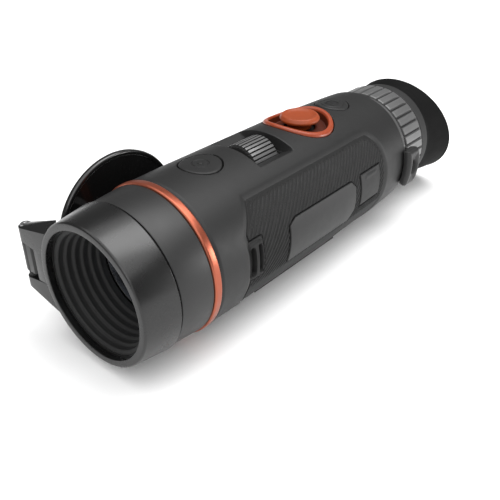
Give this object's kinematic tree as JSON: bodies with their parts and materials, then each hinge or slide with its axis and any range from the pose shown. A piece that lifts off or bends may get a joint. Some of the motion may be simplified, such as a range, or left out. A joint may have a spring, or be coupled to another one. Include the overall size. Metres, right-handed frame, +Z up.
{
  "type": "handheld thermal imaging camera",
  "caption": "Cylindrical handheld thermal monocular with flip-back lens cap, focus wheel, joystick, buttons, ribbed grip panels, dioptre ring, eyecup and a flat foot.",
  "frame": {"origin": "centre of the flat foot's underside", "axes": "+Z up, +Y from the objective towards the eye, +X towards the side with the name plate and port cover"},
  "size_m": [0.0684, 0.207, 0.0591],
  "materials": {
    "anodised": "satin black anodised",
    "cap_gloss": "gloss black",
    "soft_liner": "matt",
    "steel": "turned",
    "brass": "turned",
    "barrel": "matt black",
    "inner_black": "matt black",
    "orange": "satin orange",
    "germanium": "coated germanium, opaque to the eye",
    "wheel": "satin grey",
    "housing": "fine texture, charcoal",
    "grip_rubber": "matt",
    "eyecup_rubber": "matt",
    "glass": "clear",
    "ceramic": "ceramic package",
    "board": "solder resist",
    "battery": "sleeved"
  },
  "bodies": {
    "body": {"lens_retainer": "anodised", "front_o_ring": "soft_liner", "usb_connector": "steel", "base_screw_1": "steel", "base_screw_2": "steel", "base_screw_3": "steel", "base_screw_4": "steel", "tripod_insert": "brass", "objective_tube": "barrel", "rear_collar": "barrel", "rear_strap_lug": "barrel", "base_plate": "barrel", "lens_baffle": "inner_black", "wheel_cradle": "inner_black", "shutter_plate": "inner_black", "battery_tray": "inner_black", "eyepiece_barrel": "inner_black", "accent_ring": "orange", "joystick_bezel": "orange", "front_lens": "germanium", "main_housing": "housing", "name_plate": "housing", "grip_panel_left": "grip_rubber", "grip_panel_right": "grip_rubber", "front_strap_anchor": "grip_rubber", "eyepiece_window": "glass", "detector_module": "ceramic", "main_board": "board", "front_switch_board": "board", "rear_switch_board": "board", "display_module": "board", "battery_cell": "battery"},
    "ring": {"cap_ring": "anodised", "cap_hinge_pin": "steel", "cap_friction_washer": "inner_black"},
    "cap": {"flip_cap": "cap_gloss", "cap_liner": "soft_liner"},
    "focus_spindle": {"focus_axle": "steel", "focus_wheel": "wheel"},
    "helicoid": {"helicoid_ring": "brass"},
    "focus_carriage": {"focus_cell": "anodised", "rear_objective_lens": "germanium"},
    "power": {"power_button": "housing"},
    "photo": {"photo_button": "housing"},
    "joystick_base": {"joystick_carrier": "inner_black"},
    "joystick_yoke": {"joystick_gimbal": "steel"},
    "joystick_head": {"joystick_knob": "orange"},
    "dioptre": {"dioptre_ring": "barrel"},
    "eyepiece_carriage": {"eyepiece_cell": "anodised", "eyepiece_lens_front": "glass", "eyepiece_lens_rear": "glass"},
    "port_flap": {"port_cover": "grip_rubber"},
    "eyecup_body": {"eyecup": "eyecup_rubber"},
    "shutter": {"shutter_flag": "inner_black"}
  },
  "joints": [
    {"name": "cap_ring_turn", "type": "hinge", "parent": "body", "child": "ring", "pos_m": [0, -0.087, 0.0294], "axis": [0, 1, 0], "continuous": true},
    {"name": "cap_hinge", "type": "hinge", "parent": "ring", "child": "cap", "pos_m": [-0.0352, -0.0914, 0.0294], "axis": [0, 0, 1], "range_deg": [0, 270]},
    {"name": "focus_turn", "type": "hinge", "parent": "body", "child": "focus_spindle", "pos_m": [0, -0.017, 0.0489], "axis": [0, 1, 0], "range_deg": [-150, 150]},
    {"name": "helicoid_turn", "type": "hinge", "parent": "body", "child": "helicoid", "pos_m": [0, -0.0515, 0.0294], "axis": [0, 1, 0], "range_deg": [-33, 33]},
    {"name": "focus_slide", "type": "slide", "parent": "body", "child": "focus_carriage", "axis": [0, 1, 0], "range_m": [-0.0025, 0.0025]},
    {"name": "power_press", "type": "slide", "parent": "body", "child": "power", "axis": [0, 0, -1], "range_m": [0, 0.0005], "stiffness_N_per_m": 900},
    {"name": "photo_press", "type": "slide", "parent": "body", "child": "photo", "axis": [0, 0, -1], "range_m": [0, 0.0006], "stiffness_N_per_m": 900},
    {"name": "joystick_press", "type": "slide", "parent": "body", "child": "joystick_base", "axis": [0, 0, -1], "range_m": [0, 0.0006], "stiffness_N_per_m": 1500},
    {"name": "joystick_tilt_side", "type": "hinge", "parent": "joystick_base", "child": "joystick_yoke", "pos_m": [0, 0.0152, 0.0504], "axis": [1, 0, 0], "range_deg": [-8, 8], "stiffness_Nm_per_rad": 0.06},
    {"name": "joystick_tilt_fore", "type": "hinge", "parent": "joystick_yoke", "child": "joystick_head", "pos_m": [0, 0.0152, 0.0504], "axis": [0, 1, 0], "range_deg": [-8, 8], "stiffness_Nm_per_rad": 0.06},
    {"name": "dioptre_turn", "type": "hinge", "parent": "body", "child": "dioptre", "pos_m": [0, 0.071, 0.0294], "axis": [0, 1, 0], "range_deg": [-60, 60]},
    {"name": "eyepiece_slide", "type": "slide", "parent": "body", "child": "eyepiece_carriage", "axis": [0, 1, 0], "range_m": [-0.0026, 0.0026]},
    {"name": "port_cover_flap", "type": "hinge", "parent": "body", "child": "port_flap", "pos_m": [0.028, 0.0291, 0.0242], "axis": [0, 1, 0], "range_deg": [0, 100]},
    {"name": "eyecup_turn", "type": "hinge", "parent": "body", "child": "eyecup_body", "pos_m": [0, 0.091, 0.0294], "axis": [0, 1, 0], "continuous": true},
    {"name": "shutter_swing", "type": "hinge", "parent": "body", "child": "shutter", "pos_m": [0.013, -0.0401, 0.0294], "axis": [0, 1, 0], "range_deg": [-70, 0]}
  ],
  "couplings": [
    {"joint": "helicoid_turn", "follows": "focus_turn", "ratio": -0.21875},
    {"joint": "focus_slide", "follows": "focus_turn", "m_per_rad": 0.00091673},
    {"joint": "eyepiece_slide", "follows": "dioptre_turn", "m_per_rad": 0.0023873}
  ]
}
